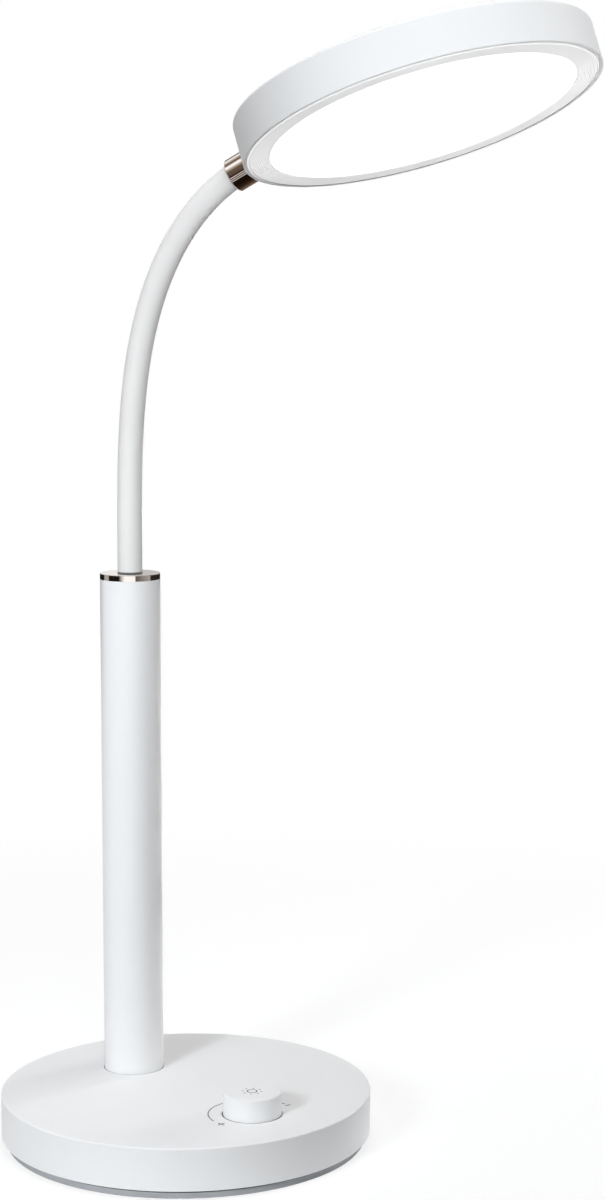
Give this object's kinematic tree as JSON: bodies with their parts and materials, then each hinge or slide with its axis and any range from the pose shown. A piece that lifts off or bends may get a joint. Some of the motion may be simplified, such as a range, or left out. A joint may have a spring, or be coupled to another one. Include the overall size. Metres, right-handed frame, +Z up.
{
  "type": "led desk lamp",
  "caption": "Cordless desk lamp: round weighted base with a dimmer knob, straight post, flexible neck and a flat round light head.",
  "frame": {"origin": "centre of the foot pad on the table", "axes": "+Z up along the post, -Y towards the front where the knob is, +X to the right seen from the front"},
  "size_m": [0.2057, 0.2161, 0.447],
  "materials": {
    "white_moulding": "fine satin white moulding",
    "white_tube": "satin white paint on aluminium tube",
    "white_sleeve": "smooth matt white silicone",
    "polished_rose_metal": "polished rose-grey plating",
    "foot_rubber": "grey matt rubber",
    "weight_iron": "raw plate",
    "steel": "plain zinc-plated steel",
    "cast_alloy": "as cast",
    "brass": "turned",
    "dark_plastic": "black moulding",
    "circuit_board": "green solder mask",
    "white_board": "white solder mask",
    "light_chip": "yellow phosphor",
    "bezel_moulding": "pale grey moulding with fine concentric grooves",
    "opal_diffuser": "opal white, lit from behind"
  },
  "bodies": {
    "base": {"foot_pad": "foot_rubber", "bottom_plate": "dark_plastic", "base_screws": "steel", "counterweight": "weight_iron", "base_shell": "white_moulding", "battery_pack": "dark_plastic", "charge_board": "circuit_board", "charge_socket": "steel", "control_board": "circuit_board", "board_screws": "steel", "dimmer_body": "cast_alloy", "post_foot": "cast_alloy", "post_screws": "steel", "post_tube": "white_tube", "post_plug": "dark_plastic", "post_ring": "polished_rose_metal", "neck_ferrule": "brass", "neck_nut": "steel", "neck_core_0": "steel", "neck_sleeve_0": "white_sleeve"},
    "knob": {"knob": "white_moulding", "dimmer_shaft": "steel"},
    "neck_link_1": {"neck_core_1": "steel", "neck_sleeve_1": "white_sleeve"},
    "neck_link_2": {"neck_core_2": "steel", "neck_sleeve_2": "white_sleeve"},
    "neck_link_3": {"neck_core_3": "steel", "neck_sleeve_3": "white_sleeve"},
    "neck_link_4": {"neck_core_4": "steel", "neck_sleeve_4": "white_sleeve"},
    "neck_link_5": {"neck_core_5": "steel", "neck_sleeve_5": "white_sleeve"},
    "neck_link_6": {"neck_core_6": "steel", "neck_sleeve_6": "white_sleeve"},
    "neck_link_7": {"neck_core_7": "steel", "neck_sleeve_7": "white_sleeve"},
    "neck_link_8": {"neck_core_8": "steel", "neck_sleeve_8": "white_sleeve"},
    "neck_link_9": {"neck_core_9": "steel", "neck_sleeve_9": "white_sleeve"},
    "neck_link_10": {"neck_core_10": "steel", "neck_sleeve_10": "white_sleeve"},
    "head": {"neck_core_11": "steel", "neck_sleeve_11": "white_sleeve", "head_collar": "polished_rose_metal", "collar_stem": "steel", "collar_nut": "steel", "head_housing": "white_moulding", "heat_plate": "cast_alloy", "light_board": "white_board", "light_chips": "light_chip", "head_screws": "steel", "bezel_ring": "bezel_moulding", "diffuser": "opal_diffuser"}
  },
  "joints": [
    {"name": "knob_turn", "type": "hinge", "parent": "base", "child": "knob", "pos_m": [0, -0.0435, 0.0204], "axis": [0, 0, 1], "range_deg": [-95, 95]},
    {"name": "neck_bend_1", "type": "hinge", "parent": "base", "child": "neck_link_1", "pos_m": [0.00001, 0.03649, 0.24264], "axis": [0.8763, 0.4818, 0], "range_deg": [-10, 10]},
    {"name": "neck_sway_1", "type": "hinge", "parent": "neck_link_1", "child": "neck_link_2", "pos_m": [0.00005, 0.0364, 0.25708], "axis": [0.4817, -0.8763, -0.0111], "range_deg": [-10, 10]},
    {"name": "neck_bend_2", "type": "hinge", "parent": "neck_link_2", "child": "neck_link_3", "pos_m": [0.0002, 0.03614, 0.27152], "axis": [0.8763, 0.4818, 0], "range_deg": [-10, 10]},
    {"name": "neck_sway_2", "type": "hinge", "parent": "neck_link_3", "child": "neck_link_4", "pos_m": [0.00052, 0.03554, 0.28595], "axis": [0.4808, -0.8745, -0.0635], "range_deg": [-10, 10]},
    {"name": "neck_bend_3", "type": "hinge", "parent": "neck_link_4", "child": "neck_link_5", "pos_m": [0.00113, 0.03444, 0.30033], "axis": [0.8763, 0.4818, 0], "range_deg": [-10, 10]},
    {"name": "neck_sway_3", "type": "hinge", "parent": "neck_link_5", "child": "neck_link_6", "pos_m": [0.00213, 0.03262, 0.31462], "axis": [0.4743, -0.8627, -0.1756], "range_deg": [-10, 10]},
    {"name": "neck_bend_4", "type": "hinge", "parent": "neck_link_6", "child": "neck_link_7", "pos_m": [0.00364, 0.02988, 0.32872], "axis": [0.8763, 0.4818, 0], "range_deg": [-10, 10]},
    {"name": "neck_sway_4", "type": "hinge", "parent": "neck_link_7", "child": "neck_link_8", "pos_m": [0.00577, 0.026, 0.34245], "axis": [0.4501, -0.8188, -0.3564], "range_deg": [-10, 10]},
    {"name": "neck_bend_5", "type": "hinge", "parent": "neck_link_8", "child": "neck_link_9", "pos_m": [0.00866, 0.02075, 0.35559], "axis": [0.8763, 0.4818, 0], "range_deg": [-10, 10]},
    {"name": "neck_sway_5", "type": "hinge", "parent": "neck_link_9", "child": "neck_link_10", "pos_m": [0.01238, 0.01399, 0.36777], "axis": [0.3866, -0.7032, -0.5967], "range_deg": [-10, 10]},
    {"name": "neck_bend_6", "type": "hinge", "parent": "neck_link_10", "child": "head", "pos_m": [0.01699, 0.00559, 0.37856], "axis": [0.8763, 0.4818, 0], "range_deg": [-10, 10]}
  ]
}
